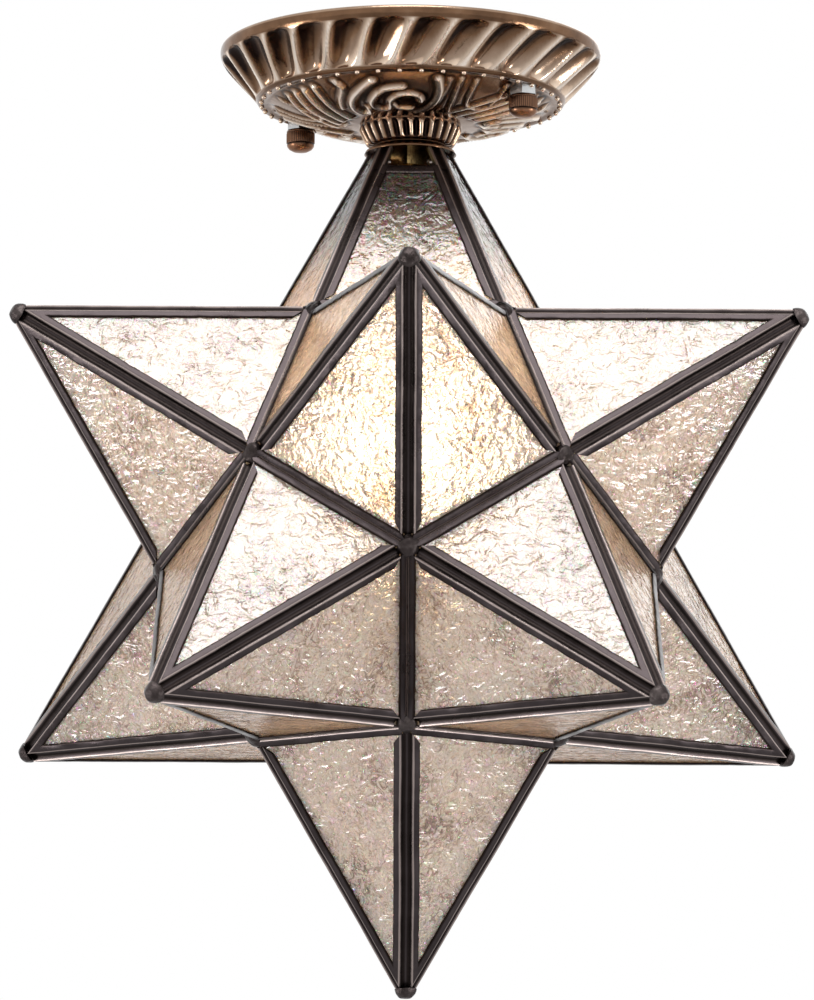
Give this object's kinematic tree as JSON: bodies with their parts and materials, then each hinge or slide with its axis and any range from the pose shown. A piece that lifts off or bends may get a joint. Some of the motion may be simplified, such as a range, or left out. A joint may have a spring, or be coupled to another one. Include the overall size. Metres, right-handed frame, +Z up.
{
  "type": "stained glass star ceiling light",
  "caption": "Ceiling light: a faceted star of hammered glass panes in dark metal channel, hung close under a fluted canopy, with a hinged point for changing the bulb.",
  "frame": {"origin": "on the ceiling plane, at the middle of the mounting crossbar's upper face", "axes": "+Z up into the ceiling; -Y faces the front, where the picture is taken from; azimuths count from the front towards +X"},
  "size_m": [0.3018, 0.3168, 0.3676],
  "materials": {
    "dark_channel": "brown-black patina over soldered metal channel, satin",
    "hammered_glass": "clear hammered glass with an iridescent surface",
    "hinge_brass": "darkened brass",
    "antique_bronze": "polished antique bronze, darker in the recesses",
    "zinc_steel": "zinc-plated steel",
    "green_steel": "green passivated steel",
    "copper_brown": "polished copper-brown plating",
    "brass_nut": "bright brass",
    "white_plastic": "moulded white plastic",
    "black_phenolic": "moulded black phenolic",
    "shell_brass": "plain stamped brass",
    "black_insulation": "black wire insulation",
    "white_insulation": "white wire insulation",
    "green_insulation": "green wire insulation",
    "bulb_glass": "frosted inside, lit",
    "stem_glass": "clear glass",
    "filament": "tungsten",
    "bulb_cap_metal": "plain aluminium",
    "bulb_insulator_black": "dark vitrite"
  },
  "bodies": {
    "star_and_canopy": {"bottom_point_frame": "dark_channel", "upper_front_frame": "dark_channel", "upper_right_frame": "dark_channel", "upper_rear_left_frame": "dark_channel", "upper_left_frame": "dark_channel", "lower_front_right_frame": "dark_channel", "lower_right_frame": "dark_channel", "lower_rear_frame": "dark_channel", "lower_left_frame": "dark_channel", "lower_front_left_frame": "dark_channel", "top_point_frame": "dark_channel", "tip_caps": "dark_channel", "bottom_point_glass": "hammered_glass", "upper_front_glass": "hammered_glass", "upper_right_glass": "hammered_glass", "upper_rear_left_glass": "hammered_glass", "upper_left_glass": "hammered_glass", "lower_front_right_glass": "hammered_glass", "lower_right_glass": "hammered_glass", "lower_rear_glass": "hammered_glass", "lower_left_glass": "hammered_glass", "lower_front_left_glass": "hammered_glass", "top_point_glass": "hammered_glass", "star_hinge_leaf": "hinge_brass", "hinge_pin": "hinge_brass", "canopy": "antique_bronze", "vase_cap": "antique_bronze", "mounting_crossbar": "zinc_steel", "canopy_studs": "zinc_steel", "stud_lock_nuts": "zinc_steel", "canopy_hex_nuts": "zinc_steel", "canopy_lock_nut": "zinc_steel", "canopy_washer": "zinc_steel", "stem_nipple": "zinc_steel", "ground_screw": "green_steel", "vase_cap_nut": "brass_nut", "terminal_block": "white_plastic", "terminal_block_screws": "zinc_steel", "lampholder_cap": "black_phenolic", "lampholder_body": "black_phenolic", "lampholder_insulator": "black_phenolic", "lampholder_screw_shell": "shell_brass", "lampholder_contact": "shell_brass", "lampholder_terminals": "shell_brass", "lead_live": "black_insulation", "lead_neutral": "white_insulation", "lead_ground": "green_insulation"},
    "door": {"door_frame": "dark_channel", "door_glass": "hammered_glass", "door_tip_cap": "dark_channel", "door_hinge_leaf": "hinge_brass"},
    "bulb": {"bulb_envelope": "bulb_glass", "bulb_base": "bulb_cap_metal", "bulb_insulator": "bulb_insulator_black", "bulb_contact": "bulb_cap_metal", "bulb_stem": "stem_glass", "bulb_filament": "filament"},
    "cap_nut_right": {"cap_nut_right": "copper_brown"},
    "cap_nut_left": {"cap_nut_left": "copper_brown"}
  },
  "joints": [
    {"name": "door_hinge", "type": "hinge", "parent": "star_and_canopy", "child": "door", "pos_m": [0.03009, 0.04142, -0.10867], "axis": [0.809, -0.5878, 0], "range_deg": [0, 65]},
    {"name": "bulb_screw", "type": "hinge", "parent": "star_and_canopy", "child": "bulb", "pos_m": [0, 0, -0.09], "axis": [0, 0, 1], "continuous": true},
    {"name": "cap_nut_right_screw", "type": "hinge", "parent": "star_and_canopy", "child": "cap_nut_right", "pos_m": [0.04304, -0.03059, -0.025], "axis": [0, 0, 1], "continuous": true},
    {"name": "cap_nut_left_screw", "type": "hinge", "parent": "star_and_canopy", "child": "cap_nut_left", "pos_m": [-0.04304, 0.03059, -0.025], "axis": [0, 0, 1], "continuous": true}
  ]
}
